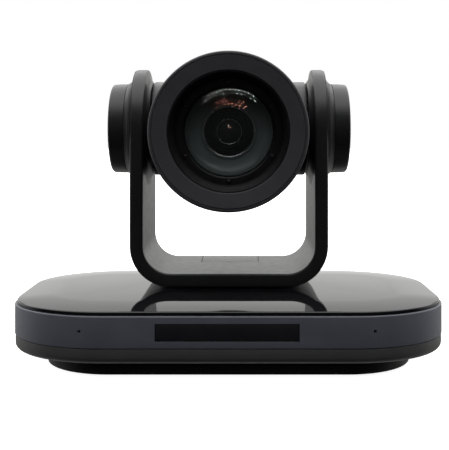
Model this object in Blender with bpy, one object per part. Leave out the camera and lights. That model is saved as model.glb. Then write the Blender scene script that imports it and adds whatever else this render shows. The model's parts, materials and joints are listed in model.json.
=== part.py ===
"""One-piece conference PTZ camera: base, pan drive, yoke, tilt drive, head and zoom lens.

Dimensions are in millimetres in the constants and are scaled to metres when a mesh is made.
X points to the right, Y to the back, Z up, and the origin is under the middle of the base.
"""
import math

import bmesh
import bpy
from mathutils import Matrix, Vector

MM = 0.001
GAP = 0.3
RUNNING_GAP = 0.08

# Base: plan outline, and heights of the stacked shells.
BASE_HALF_WIDTH = 123.0
BASE_HALF_DEPTH = 67.0
BASE_CORNER_WIDTH = 56.0
BASE_FRONT_CORNER_DEPTH = 46.0
BASE_REAR_CORNER_DEPTH = 48.0
PLINTH_HALF_WIDTH = 105.5
PLINTH_FRONT = 52.5
PLINTH_REAR = 53.0
PLINTH_CORNER_WIDTH = 40.0
PLINTH_CORNER_DEPTH = 38.0
CORNER_STEPS = 7
PLINTH_BOTTOM = 1.5
PLINTH_FLOOR_TOP = 4.5
PLINTH_TOP = 10.6
LOWER_BOTTOM = PLINTH_TOP + GAP
SHELL_FLOOR_TOP = LOWER_BOTTOM + 2.0
LOWER_TOP = 19.1
BAND_BOTTOM = 19.4
BAND_TOP = 36.5
COVER_BOTTOM = BAND_TOP + GAP
COVER_TOP = 40.0
CROWN_WIDTH = 24.0
WALL = 2.5

# Front window and rear connector panel.
WINDOW_SIZE = (76.0, 9.0)
WINDOW_HEIGHT = 27.9
MIC_X = 78.2
MIC_HEIGHT = 28.5
MIC_RADIUS = 0.85
PANEL_HALF_WIDTH = 61.7
PANEL_LOW = 20.3
PANEL_HIGH = 34.5
PANEL_FRONT = 64.8
PANEL_BACK = 66.2

# Feet, screws and tripod bush under the base.
FOOT_PLACES = ((-80.0, -28.0), (80.0, -28.0), (-80.0, 30.0), (80.0, 30.0))
FOOT_RADIUS = 7.0
SCREW_PLACES = ((-50.0, -36.0), (50.0, -36.0), (-50.0, 40.0), (50.0, 40.0))
BUSH_RADIUS = 6.0
BUSH_BORE = 2.6

# Pan drive.
PAN_Y = 28.0
PAN_SHAFT_RADIUS = 11.0
CABLE_BORE = 8.0
PAN_MODULE = 1.0
PAN_GEAR_TEETH = 42
PAN_PINION_TEETH = 12
PAN_GEAR_LOW = 23.5
PAN_GEAR_HIGH = 28.5
PAN_DISTANCE = PAN_MODULE * (PAN_GEAR_TEETH + PAN_PINION_TEETH) / 2
TURNTABLE_RADIUS = 30.0

# Yoke.
YOKE_HALF_WIDTH = 59.4
YOKE_BOTTOM = 40.9
YOKE_CORNER = 24.4
YOKE_THICKNESS = 8.0
YOKE_RADIUS = 37.4
YOKE_SKIN = 2.2
YOKE_RIM = 1.8
LINER_THICKNESS = 1.5
LID_HALF_WIDTH = 18.5
LID_FRONT = 37.1

# Tilt drive.
TILT_HEIGHT = 135.9
HUB_BORE = 25.6
HUB_RADIUS = 28.3
HUB_SEAM = 64.4
HUB_END = 75.6
TRUNNION_RADIUS = 6.0
BEARING_RADIUS = 11.0
TILT_MODULE = 0.6
TILT_GEAR_TEETH = 50
TILT_PINION_TEETH = 12
TILT_GEAR_NEAR = 66.6
TILT_GEAR_FAR = 69.6
TILT_DISTANCE = TILT_MODULE * (TILT_GEAR_TEETH + TILT_PINION_TEETH) / 2

# Head and lens, around an axis 2 mm below the tilt axis.
LENS_HEIGHT = 133.9
BARREL_RADIUS = 45.0
BARREL_BORE = 42.6
BARREL_FRONT = -21.7
BARREL_REAR = 58.0
DRUM_RADIUS = 29.7
DRUM_HALF_WIDTH = 47.5
BEZEL_RADIUS = 46.5
BEZEL_BORE = 35.5
BEZEL_FRONT = -29.0
SCREW_RING_FACE = -17.0
SCREW_RING_RADIUS = 29.4
GLASS_RADIUS = 26.7
TUBE_BORE = 14.9
TUBE_RADIUS = 16.7

# Gear teeth, in modules and in parts of the tooth pitch.
ADDENDUM = 0.8
DEDENDUM = 1.1
TOOTH_SHARE = 0.42
FLANK_ANGLE = math.radians(20.0)

# Finish: colour, roughness, metallic.
FINISHES = {
    "piano_black": ((0.006, 0.006, 0.007), 0.06, 0.0),
    "blue_grey": ((0.035, 0.038, 0.050), 0.38, 0.0),
    "warm_grey": ((0.020, 0.019, 0.018), 0.45, 0.0),
    "matte_black": ((0.005, 0.005, 0.006), 0.60, 0.0),
    "satin_black": ((0.010, 0.010, 0.011), 0.30, 0.0),
    "bezel_grey": ((0.018, 0.017, 0.022), 0.55, 0.0),
    "window": ((0.003, 0.003, 0.004), 0.08, 0.0),
    "rubber": ((0.012, 0.012, 0.012), 0.85, 0.0),
    "steel": ((0.45, 0.45, 0.46), 0.35, 1.0),
    "black_screw": ((0.02, 0.02, 0.021), 0.35, 0.0),
    "aluminium": ((0.60, 0.61, 0.62), 0.40, 1.0),
    "brass": ((0.60, 0.45, 0.20), 0.35, 1.0),
    "board": ((0.02, 0.12, 0.06), 0.50, 0.0),
    "acetal": ((0.70, 0.69, 0.65), 0.45, 0.0),
    "glass": ((0.05, 0.08, 0.07), 0.03, 0.0),
}

AXES = {"X": Vector((1, 0, 0)), "Y": Vector((0, 1, 0)), "Z": Vector((0, 0, 1))}


def clear_scene():
    for item in list(bpy.data.objects):
        bpy.data.objects.remove(item, do_unlink=True)


def make_material(name, finish):
    colour, roughness, metallic = FINISHES[finish]
    material = bpy.data.materials.new(name)
    material.use_nodes = True
    shader = material.node_tree.nodes["Principled BSDF"]
    shader.inputs["Base Color"].default_value = (*colour, 1.0)
    shader.inputs["Roughness"].default_value = roughness
    shader.inputs["Metallic"].default_value = metallic
    return material


def make_object(name, bm, finish=None):
    """Close a bmesh drawn in millimetres into an object in metres."""
    bmesh.ops.recalc_face_normals(bm, faces=bm.faces)
    bmesh.ops.scale(bm, verts=bm.verts, vec=(MM, MM, MM))
    mesh = bpy.data.meshes.new(name)
    bm.to_mesh(mesh)
    bm.free()
    mesh.shade_smooth()
    mesh.set_sharp_from_angle(angle=math.radians(32.0))
    item = bpy.data.objects.new(name, mesh)
    bpy.context.scene.collection.objects.link(item)
    if finish:
        mesh.materials.append(make_material(name, finish))
    return item


def loft(name, rings, finish=None, ring_closed=False):
    """Skin equal rings of points; the ends are capped, or joined when ring_closed is set."""
    bm = bmesh.new()
    loops = [[bm.verts.new(point) for point in ring] for ring in rings]
    count = len(loops[0])
    pairs = list(zip(loops, loops[1:]))
    if ring_closed:
        pairs.append((loops[-1], loops[0]))
    for low, high in pairs:
        for i in range(count):
            j = (i + 1) % count
            bm.faces.new((low[i], low[j], high[j], high[i]))
    if not ring_closed:
        bm.faces.new(loops[0])
        bm.faces.new(loops[-1])
    return make_object(name, bm, finish)


def place(axis, u, v, along):
    """A point from two coordinates across an axis and one along it."""
    if axis == "X":
        return Vector((along, u, v))
    if axis == "Y":
        return Vector((u, along, v))
    return Vector((u, v, along))


def prism(name, outline, axis, low, high, finish=None):
    """Extrude a flat outline along an axis."""
    bm = bmesh.new()
    face = bm.faces.new([bm.verts.new(place(axis, u, v, low)) for u, v in outline])
    grown = bmesh.ops.extrude_face_region(bm, geom=[face])["geom"]
    verts = [item for item in grown if isinstance(item, bmesh.types.BMVert)]
    bmesh.ops.translate(bm, verts=verts, vec=AXES[axis] * (high - low))
    return make_object(name, bm, finish)


def box(name, low, high, finish=None):
    outline = [(low[0], low[1]), (high[0], low[1]), (high[0], high[1]), (low[0], high[1])]
    return prism(name, outline, "Z", low[2], high[2], finish)


def turned(name, profile, axis, centre, finish=None, segments=24):
    """Spin a (radius, distance along the axis) profile round an axis through centre.

    A profile that starts and ends on the axis makes a solid, any other makes a ring.
    """
    bm = bmesh.new()
    middle = place(axis, centre[0], centre[1], 0.0)
    verts = [bm.verts.new(place(axis, centre[0] + r, centre[1], along)) for r, along in profile]
    edges = [bm.edges.new(pair) for pair in zip(verts, verts[1:])]
    if profile[0][0] > 0.0:
        edges.append(bm.edges.new((verts[-1], verts[0])))
    bmesh.ops.spin(bm, geom=verts + edges, cent=middle, axis=AXES[axis], angle=math.tau,
                   steps=segments, use_merge=True, use_duplicate=False)
    bmesh.ops.remove_doubles(bm, verts=bm.verts, dist=0.001)
    return make_object(name, bm, finish)


def rod(name, radius, axis, centre, low, high, finish=None, segments=24):
    profile = [(0.0, low), (radius, low), (radius, high), (0.0, high)]
    return turned(name, profile, axis, centre, finish, segments)


def join(target, tool, operation, solver="EXACT"):
    """Combine target with a tool shape that isn't a part itself."""
    modifier = target.modifiers.new(tool.name, "BOOLEAN")
    modifier.operation = operation
    modifier.solver = solver
    modifier.object = tool
    tool.hide_render = True
    tool.display_type = "WIRE"
    tool.parent = target


def cut(target, *tools):
    for tool in tools:
        join(target, tool, "DIFFERENCE")


def fuse(target, *tools):
    for tool in tools:
        join(target, tool, "UNION")


def flats_radius(radius, segments):
    """Corner radius of a polygon whose flats clear a round shaft of the given radius."""
    return radius / math.cos(math.pi / segments)


def mirrored(profile, side):
    return [(radius, side * along) for radius, along in profile]


def rounded_plan(half_width, front, rear, corner_width, front_depth, rear_depth, z):
    """Plan outline with elliptical corners, as a ring of points at one height."""
    corners = (
        (1, -front + front_depth, front_depth, -90),
        (1, rear - rear_depth, rear_depth, 0),
        (-1, rear - rear_depth, rear_depth, 90),
        (-1, -front + front_depth, front_depth, 180),
    )
    points = []
    for side, centre_y, depth, start in corners:
        centre_x = side * (half_width - corner_width)
        for step in range(CORNER_STEPS + 1):
            angle = math.radians(start + 90.0 * step / CORNER_STEPS)
            x = centre_x + corner_width * math.cos(angle)
            y = centre_y + depth * math.sin(angle)
            points.append((x, y, z))
    return points


def base_ring(inset, z):
    return rounded_plan(BASE_HALF_WIDTH - inset, BASE_HALF_DEPTH - inset, BASE_HALF_DEPTH - inset,
                        BASE_CORNER_WIDTH - inset, BASE_FRONT_CORNER_DEPTH - inset,
                        BASE_REAR_CORNER_DEPTH - inset, z)


def plinth_ring(inset, z):
    return rounded_plan(PLINTH_HALF_WIDTH - inset, PLINTH_FRONT - inset, PLINTH_REAR - inset,
                        PLINTH_CORNER_WIDTH - inset, PLINTH_CORNER_DEPTH - inset,
                        PLINTH_CORNER_DEPTH - inset, z)


def gear_outline(teeth, module, centre, toward, gap_toward=False):
    """Spur gear outline with a tooth, or a gap, pointing at the angle toward."""
    pitch_radius = teeth * module / 2
    tooth_pitch = math.tau / teeth
    shift = toward + (tooth_pitch / 2 if gap_toward else 0.0)
    corners = []
    for height in (-DEDENDUM, ADDENDUM):
        radius = pitch_radius + height * module
        half_tooth = TOOTH_SHARE * tooth_pitch / 2
        half_angle = half_tooth - height * module * math.tan(FLANK_ANGLE) / pitch_radius
        corners.append((radius, half_angle))
    (root, root_half), (tip, tip_half) = corners
    points = []
    for tooth in range(teeth):
        middle = shift + tooth * tooth_pitch
        for radius, offset in ((root, -root_half), (tip, -tip_half), (tip, tip_half), (root, root_half)):
            angle = middle + offset
            points.append((centre[0] + radius * math.cos(angle), centre[1] + radius * math.sin(angle)))
    return points


def machine_screw(name, axis, centre, face, direction, head_radius, shank_radius, length, finish):
    """Pan-head screw whose head starts at face and whose shank runs in the given direction."""
    head = head_radius * 0.9
    dimple = head_radius * 0.45
    steps = [(0.0, dimple), (dimple, 0.0), (head_radius * 0.75, 0.0), (head_radius, head * 0.4),
             (head_radius, head), (shank_radius, head), (shank_radius, length), (0.0, length)]
    profile = [(radius, face + direction * depth) for radius, depth in steps]
    return turned(name, profile, axis, centre, finish, segments=8)


# Base

def make_plinth():
    rings = [plinth_ring(0.6, PLINTH_BOTTOM), plinth_ring(0.0, PLINTH_BOTTOM + 0.6),
             plinth_ring(0.0, PLINTH_TOP), plinth_ring(3.5, PLINTH_TOP),
             plinth_ring(3.5, PLINTH_FLOOR_TOP)]
    plinth = loft("base_plinth", rings, "matte_black")
    for index, spot in enumerate(FOOT_PLACES, 1):
        cut(plinth, rod(f"cut_foot_pocket_{index}", FOOT_RADIUS + GAP, "Z", spot, 0.0, 2.5, segments=12))
    for index, spot in enumerate(SCREW_PLACES, 1):
        steps = [(0.0, 0.5), (3.4, 0.5), (3.4, 4.0 - GAP), (1.8, 4.0 - GAP), (1.8, 6.0), (0.0, 6.0)]
        cut(plinth, turned(f"cut_counterbore_{index}", steps, "Z", spot, segments=12))
    cut(plinth, rod("cut_bush_hole", BUSH_RADIUS + GAP, "Z", (0.0, 0.0), 0.0, 6.0))
    return plinth


def make_lower_shell():
    fillet = 3.7
    outer_inset = 0.3
    rings = []
    for step in range(5):
        angle = math.radians(90.0 * step / 4)
        inset = outer_inset + fillet * (1.0 - math.sin(angle))
        rings.append(base_ring(inset, LOWER_BOTTOM + fillet * (1.0 - math.cos(angle))))
    rings.append(base_ring(outer_inset, LOWER_TOP))
    rings.append(base_ring(outer_inset + WALL, LOWER_TOP))
    rings.append(base_ring(outer_inset + WALL, LOWER_BOTTOM + 4.0))
    rings.append(base_ring(outer_inset + WALL + 2.6, SHELL_FLOOR_TOP))
    shell = loft("base_lower_shell", rings, "warm_grey")
    for index, spot in enumerate(SCREW_PLACES, 1):
        cut(shell, rod(f"cut_shell_hole_{index}", 1.8, "Z", spot, 8.0, 14.0, segments=12))
    return shell


def make_band():
    chamfer = 0.65
    rings = [base_ring(0.35, BAND_BOTTOM), base_ring(0.0, BAND_BOTTOM + 0.35),
             base_ring(0.0, BAND_TOP - chamfer), base_ring(chamfer, BAND_TOP),
             base_ring(WALL, BAND_TOP), base_ring(WALL, BAND_BOTTOM)]
    band = loft("base_band", rings, "blue_grey", ring_closed=True)
    half_width = WINDOW_SIZE[0] / 2 + 0.25
    half_height = WINDOW_SIZE[1] / 2 + 0.25
    cut(band, box("cut_window", (-half_width, -70.0, WINDOW_HEIGHT - half_height),
                  (half_width, -60.0, WINDOW_HEIGHT + half_height)))
    cut(band, box("cut_panel", (-PANEL_HALF_WIDTH - GAP, 60.0, PANEL_LOW - GAP),
                  (PANEL_HALF_WIDTH + GAP, 70.0, PANEL_HIGH + GAP)))
    for side in (-1, 1):
        name = "cut_mic_left" if side < 0 else "cut_mic_right"
        cut(band, rod(name, MIC_RADIUS, "Y", (side * MIC_X, MIC_HEIGHT), -70.0, -60.0, segments=8))
    return band


def make_top_cover():
    rings = [base_ring(CROWN_WIDTH, COVER_TOP), base_ring(18.0, COVER_TOP - 0.22),
             base_ring(11.0, COVER_TOP - 0.65), base_ring(2.4, COVER_TOP - 1.2),
             base_ring(1.6, COVER_TOP - 1.5), base_ring(1.2, COVER_TOP - 2.2),
             base_ring(1.2, COVER_BOTTOM), base_ring(5.0, COVER_BOTTOM),
             base_ring(6.5, COVER_BOTTOM + 0.6), base_ring(CROWN_WIDTH, COVER_TOP - 2.2)]
    cover = loft("base_top_cover", rings, "piano_black")
    cut(cover, rod("cut_turntable_hole", TURNTABLE_RADIUS + 1.0, "Z", (0.0, PAN_Y), 30.0, 45.0,
                   segments=36))
    return cover


def make_window():
    half_width = WINDOW_SIZE[0] / 2
    half_height = WINDOW_SIZE[1] / 2
    box("display_window", (-half_width, -66.8, WINDOW_HEIGHT - half_height),
        (half_width, -64.8, WINDOW_HEIGHT + half_height), "window")
    box("display_board", (-36.0, -63.9, WINDOW_HEIGHT - 4.0), (36.0, -62.3, WINDOW_HEIGHT + 4.0), "board")


def make_boards():
    board = box("main_board", (-84.0, -54.0, 19.0), (84.0, 58.0, 20.6), "board")
    cut(board, box("cut_drive_bay", (-56.0, -4.0, 15.0), (56.0, 46.3, 25.0)))
    low, base_top, high = 20.9, 23.0, 33.0
    front, back, pitch, fins = -46.0, -12.0, 6.0, 8
    outline = [(20.0, low), (20.0 + pitch * (fins - 1) + 2.0, low)]
    for fin in reversed(range(fins)):
        left = 20.0 + pitch * fin
        outline += [(left + 2.0, high), (left, high)]
        if fin:
            outline += [(left, base_top), (left - pitch + 2.0, base_top)]
    prism("heat_sink", outline, "Y", front, back, "aluminium")


def make_connector_panel():
    """Rear panel, and the sockets that stand on the board and reach through it."""
    panel = box("io_panel", (-PANEL_HALF_WIDTH, PANEL_FRONT, PANEL_LOW),
                (PANEL_HALF_WIDTH, PANEL_BACK, PANEL_HIGH), "matte_black")
    bottom = 21.0
    sockets = (
        ("lan_socket", -48.0, 16.0, 12.5, 51.0, "steel"),
        ("hdmi_socket", -25.0, 15.0, 7.0, 54.0, "steel"),
        ("usb_socket", -4.0, 14.5, 7.6, 52.0, "steel"),
        ("serial_socket", 19.0, 13.6, 12.5, 52.0, "matte_black"),
        ("dc_socket", 47.0, 10.0, 11.0, 52.0, "matte_black"),
    )
    blocks = {}
    for name, x, width, height, front, finish in sockets:
        low = (x - width / 2, front, bottom)
        high = (x + width / 2, PANEL_BACK, bottom + height)
        blocks[name] = box(name, low, high, finish)
        grown_low = (low[0] - GAP, PANEL_FRONT - 2.0, low[2] - GAP)
        grown_high = (high[0] + GAP, PANEL_BACK + 2.0, high[2] + GAP)
        cut(panel, box(f"cut_{name}", grown_low, grown_high))
    cut(blocks["lan_socket"], box("cut_lan_port", (-53.9, 53.5, 22.5), (-42.1, 70.0, 31.0)))
    for name, x, half_width, low, high in (("hdmi", -25.0, 6.9, 22.1, 26.7), ("usb", -4.0, 6.4, 22.2, 27.2)):
        socket = blocks[f"{name}_socket"]
        cut(socket, box(f"cut_{name}_port", (x - half_width, 56.0, low), (x + half_width, 70.0, high)))
        middle = (low + high) / 2
        fuse(socket, box(f"add_{name}_tongue", (x - half_width + 1.4, 55.0, middle - 0.7),
                         (x + half_width - 1.4, 65.0, middle + 0.7)))
    cut(blocks["serial_socket"], rod("cut_serial_port", 4.8, "Y", (19.0, 27.2), 59.0, 70.0))
    cut(blocks["dc_socket"], rod("cut_dc_port", 3.1, "Y", (47.0, 26.8), 57.0, 70.0, segments=12))
    fuse(blocks["dc_socket"], rod("add_dc_pin", 1.0, "Y", (47.0, 26.8), 56.0, 65.2, segments=12))


def make_base_fittings():
    for index, spot in enumerate(FOOT_PLACES, 1):
        profile = [(0.0, 0.0), (FOOT_RADIUS - 0.6, 0.0), (FOOT_RADIUS, 0.6), (FOOT_RADIUS, 2.2), (0.0, 2.2)]
        turned(f"rubber_foot_{index}", profile, "Z", spot, "rubber", segments=16)
    for index, spot in enumerate(SCREW_PLACES, 1):
        machine_screw(f"base_screw_{index}", "Z", spot, 1.6, 1, 2.3, 1.3, 10.6, "steel")
    ledge = PLINTH_FLOOR_TOP + GAP
    profile = [(BUSH_BORE, PLINTH_BOTTOM), (BUSH_RADIUS, PLINTH_BOTTOM), (BUSH_RADIUS, ledge),
               (BUSH_RADIUS + 2.5, ledge), (BUSH_RADIUS + 2.5, 6.5), (BUSH_RADIUS, 6.5),
               (BUSH_RADIUS, 9.0), (BUSH_BORE, 9.0)]
    turned("tripod_bush", profile, "Z", (0.0, 0.0), "brass", segments=24)


# Pan drive

def make_pan_drive():
    chassis = box("base_chassis", (-50.0, -1.0, 29.8), (50.0, 48.5, 31.8), "steel")
    for index, (x, y) in enumerate(((-44.0, 5.0), (44.0, 5.0), (-44.0, 42.0), (44.0, 42.0)), 1):
        fuse(chassis, rod(f"add_post_{index}", 3.0, "Z", (x, y), SHELL_FLOOR_TOP + GAP, 30.8, segments=12))
    axis = (0.0, PAN_Y)
    bearing_outer = 17.0
    cut(chassis, rod("cut_bearing_seat", bearing_outer + GAP, "Z", axis, 25.0, 35.0, segments=24))
    bore = flats_radius(PAN_SHAFT_RADIUS + RUNNING_GAP, 24)
    turned("pan_bearing", [(bore, 29.5), (bearing_outer, 29.5), (bearing_outer, 34.5), (bore, 34.5)],
           "Z", axis, "steel", segments=24)
    spot = (-PAN_DISTANCE, PAN_Y)
    motor_low = SHELL_FLOOR_TOP + GAP
    profile = [(0.0, motor_low), (12.5, motor_low), (12.5, 21.4), (4.0, 21.4), (4.0, 22.2), (1.5, 22.2),
               (1.5, PAN_GEAR_HIGH), (0.0, PAN_GEAR_HIGH)]
    turned("pan_motor", profile, "Z", spot, "steel", segments=24)
    teeth = gear_outline(PAN_PINION_TEETH, PAN_MODULE, spot, 0.0, gap_toward=True)
    pinion = prism("pan_pinion", teeth, "Z", PAN_GEAR_LOW, PAN_GEAR_HIGH, "brass")
    bore = flats_radius(1.5 + RUNNING_GAP, 16)
    cut(pinion, rod("cut_pan_pinion_bore", bore, "Z", spot, 20.0, 35.0, segments=12))

    teeth = gear_outline(PAN_GEAR_TEETH, PAN_MODULE, axis, math.pi)
    gear = prism("pan_gear", teeth, "Z", PAN_GEAR_LOW, PAN_GEAR_HIGH, "acetal")
    cut(gear, rod("cut_pan_gear_bore", PAN_SHAFT_RADIUS + GAP, "Z", axis, 20.0, 35.0, segments=24))
    profile = [(CABLE_BORE, 13.5), (PAN_SHAFT_RADIUS, 13.5), (PAN_SHAFT_RADIUS, 34.9), (20.0, 34.9),
               (20.0, 37.2), (CABLE_BORE, 37.2)]
    shaft = turned("pan_shaft", profile, "Z", axis, "steel", segments=24)
    profile = [(CABLE_BORE, 37.5), (TURNTABLE_RADIUS, 37.5), (TURNTABLE_RADIUS, 40.6), (CABLE_BORE, 40.6)]
    turntable = turned("turntable", profile, "Z", axis, "matte_black", segments=36)
    return pinion, (gear, shaft, turntable)


# Yoke

def yoke_line(offset, top):
    """One U line of the yoke at an offset inwards from its outer surface, from left to right."""
    half_width = YOKE_HALF_WIDTH - offset
    corner = YOKE_CORNER - offset
    bottom = YOKE_BOTTOM + offset
    points = [(-half_width, top)]
    for side, start in ((-1, 180), (1, 270)):
        for step in range(7):
            angle = math.radians(start + 90.0 * step / 6)
            x = side * (half_width - corner) + corner * math.cos(angle)
            points.append((x, bottom + corner + corner * math.sin(angle)))
    points.append((half_width, top))
    return points


def yoke_plate(name, outer, inner, edge_inset, finish=None):
    """U-shaped plate between two offsets, with round tops about the tilt axis."""
    top = TILT_HEIGHT + YOKE_RADIUS + 5.0
    outline = yoke_line(outer, top) + yoke_line(inner, top)[::-1]
    radius = YOKE_RADIUS - edge_inset
    plate = prism(name, outline, "Y", PAN_Y - 60.0, PAN_Y + 60.0, finish)
    side_view = [(PAN_Y - radius, 30.0), (PAN_Y + radius, 30.0)]
    for step in range(19):
        angle = math.pi * step / 18
        side_view.append((PAN_Y + radius * math.cos(angle), TILT_HEIGHT + radius * math.sin(angle)))
    tool = prism(f"trim_{name}", side_view, "X", -70.0, 70.0)
    join(plate, tool, "INTERSECT", "MANIFOLD")
    return plate


def make_yoke():
    tilt_axis = (PAN_Y, TILT_HEIGHT)
    liner_outer = YOKE_THICKNESS - LINER_THICKNESS
    shell = yoke_plate("yoke_outer_shell", 0.0, YOKE_THICKNESS, 0.0, "satin_black")
    cut(shell, yoke_plate("cut_yoke_channel", YOKE_SKIN, YOKE_THICKNESS + 1.0, YOKE_RIM))
    liner = yoke_plate("yoke_inner_liner", liner_outer, YOKE_THICKNESS, YOKE_RIM + GAP, "satin_black")
    bracket = yoke_plate("yoke_bracket", 3.0, 4.6, 6.0, "steel")

    collar = [(HUB_BORE, 58.6), (36.4, 58.6), (36.4, 59.6), (33.0, 60.4), (30.4, 61.5), (28.8, 63.0),
              (HUB_RADIUS, HUB_SEAM), (HUB_BORE, HUB_SEAM)]
    boss = [(9.0, 52.2), (34.2, 52.2), (34.2, 51.2), (31.6, 50.6), (29.9, 49.5), (29.3, 48.5), (9.0, 48.5)]
    for side, name in ((-1, "left"), (1, "right")):
        fuse(shell, turned(f"add_collar_{name}", mirrored(collar, side), "X", tilt_axis, segments=28))
        boss_body = turned(f"add_boss_{name}", mirrored(boss, side), "X", tilt_axis, segments=28)
        join(liner, boss_body, "UNION", "MANIFOLD")
    for plate in (shell, liner, bracket):
        cut(plate, rod(f"cut_trunnions_{plate.name}", BEARING_RADIUS + GAP, "X", tilt_axis, -62.0, 62.0))
    for plate in (shell, bracket):
        cut(plate, rod(f"cut_cable_{plate.name}", CABLE_BORE, "Z", (0.0, PAN_Y), 38.0, 47.0))
    bar_top = YOKE_BOTTOM + YOKE_THICKNESS
    liner_rear = PAN_Y + YOKE_RADIUS - YOKE_RIM - GAP
    opening = box("cut_lid_opening", (-LID_HALF_WIDTH - GAP, LID_FRONT - GAP, bar_top - 3.0),
                  (LID_HALF_WIDTH + GAP, liner_rear + 5.0, bar_top + 3.0))
    join(liner, opening, "DIFFERENCE", "MANIFOLD")
    lid = box("bar_cover", (-LID_HALF_WIDTH, LID_FRONT, bar_top - LINER_THICKNESS),
              (LID_HALF_WIDTH, liner_rear, bar_top), "satin_black")
    return shell, liner, bracket, lid


def make_hubs():
    tilt_axis = (PAN_Y, TILT_HEIGHT)
    seam = HUB_SEAM + GAP
    cap = [(0.0, 73.4), (18.0, 73.0), (HUB_BORE, 71.2), (HUB_BORE, seam), (HUB_RADIUS, seam), (28.2, 68.5),
           (27.9, 72.8), (27.0, 74.0), (20.0, 74.9), (10.0, 75.4), (0.0, HUB_END)]
    bore = flats_radius(TRUNNION_RADIUS + RUNNING_GAP, 20)
    bearing = [(bore, 49.0), (BEARING_RADIUS, 49.0), (BEARING_RADIUS, 58.6), (bore, 58.6)]
    pieces = []
    for side, name in ((-1, "left"), (1, "right")):
        pieces.append(turned(f"hub_cap_{name}", mirrored(cap, side), "X", tilt_axis, "satin_black", 28))
        pieces.append(turned(f"tilt_bearing_{name}", mirrored(bearing, side), "X", tilt_axis, "steel", 20))
    return pieces


# Tilt drive

def make_tilt_drive():
    spot = (PAN_Y, TILT_HEIGHT + TILT_DISTANCE)
    motor = turned("tilt_motor", [(0.0, -59.8), (6.6, -59.8), (6.6, -65.6), (1.0, -65.6),
                                  (1.0, -TILT_GEAR_FAR), (0.0, -TILT_GEAR_FAR)],
                   "X", spot, "steel", segments=20)
    teeth = gear_outline(TILT_PINION_TEETH, TILT_MODULE, spot, -math.pi / 2, gap_toward=True)
    pinion = prism("tilt_pinion", teeth, "X", -TILT_GEAR_FAR, -TILT_GEAR_NEAR, "brass")
    bore = flats_radius(1.0 + RUNNING_GAP, 16)
    cut(pinion, rod("cut_tilt_pinion_bore", bore, "X", spot, -75.0, -60.0, segments=12))

    tilt_axis = (PAN_Y, TILT_HEIGHT)
    teeth = gear_outline(TILT_GEAR_TEETH, TILT_MODULE, tilt_axis, math.pi / 2)
    gear = prism("tilt_gear", teeth, "X", -TILT_GEAR_FAR, -TILT_GEAR_NEAR, "acetal")
    cut(gear, rod("cut_tilt_gear_bore", TRUNNION_RADIUS + GAP, "X", tilt_axis, -75.0, -60.0))
    shafts = [gear]
    for side, name, end in ((-1, "left", 70.2), (1, "right", 60.0)):
        profile = [(3.5, 43.0), (12.0, 43.0), (12.0, 44.9), (TRUNNION_RADIUS, 44.9),
                   (TRUNNION_RADIUS, end), (3.5, end)]
        shafts.append(turned(f"tilt_shaft_{name}", mirrored(profile, side), "X", tilt_axis, "steel", 20))
    return motor, pinion, shafts


# Head

def make_head():
    tilt_axis = (PAN_Y, TILT_HEIGHT)
    lens_axis = (0.0, LENS_HEIGHT)
    shell = rod("head_shell", BARREL_RADIUS, "Y", lens_axis, BARREL_FRONT, BARREL_REAR, "satin_black", 36)
    drum_wall = 2.3
    hollow = DRUM_HALF_WIDTH - drum_wall
    drum = rod("add_drum", DRUM_RADIUS, "X", tilt_axis, -DRUM_HALF_WIDTH, DRUM_HALF_WIDTH, segments=28)
    join(shell, drum, "UNION", "MANIFOLD")
    hollows = (
        rod("cut_barrel_bore", BARREL_BORE, "Y", lens_axis, -40.0, 80.0, segments=36),
        rod("cut_drum_bore", DRUM_RADIUS - drum_wall, "X", tilt_axis, -hollow, hollow, segments=28),
        rod("cut_shaft_holes", TRUNNION_RADIUS + GAP, "X", tilt_axis, -60.0, 60.0),
    )
    for tool in hollows:
        join(shell, tool, "DIFFERENCE", "MANIFOLD")

    rear = BARREL_REAR + GAP
    profile = [(0.0, 64.2), (36.5, 64.0), (40.5, 62.6), (42.3, 60.6), (BARREL_BORE, rear),
               (BARREL_RADIUS, rear), (44.5, 61.4), (42.4, 64.2), (38.0, 66.0), (0.0, 66.5)]
    rear_cover = turned("head_rear_cover", profile, "Y", lens_axis, "satin_black", segments=36)
    for slot in range(5):
        z = LENS_HEIGHT - 16.0 + 8.0 * slot
        cut(rear_cover, box(f"cut_vent_{slot + 1}", (-18.0, 60.0, z - 0.9), (18.0, 70.0, z + 0.9)))

    profile = [(BEZEL_RADIUS, -22.0), (BEZEL_RADIUS, -27.8), (45.9, -28.7), (44.9, BEZEL_FRONT),
               (44.7, -28.5), (44.1, -28.5), (43.9, BEZEL_FRONT), (35.9, -27.6), (BEZEL_BORE, -27.3),
               (BEZEL_BORE, -22.0)]
    bezel = turned("front_bezel", profile, "Y", lens_axis, "bezel_grey", segments=36)
    return [shell, rear_cover, bezel]


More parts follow.
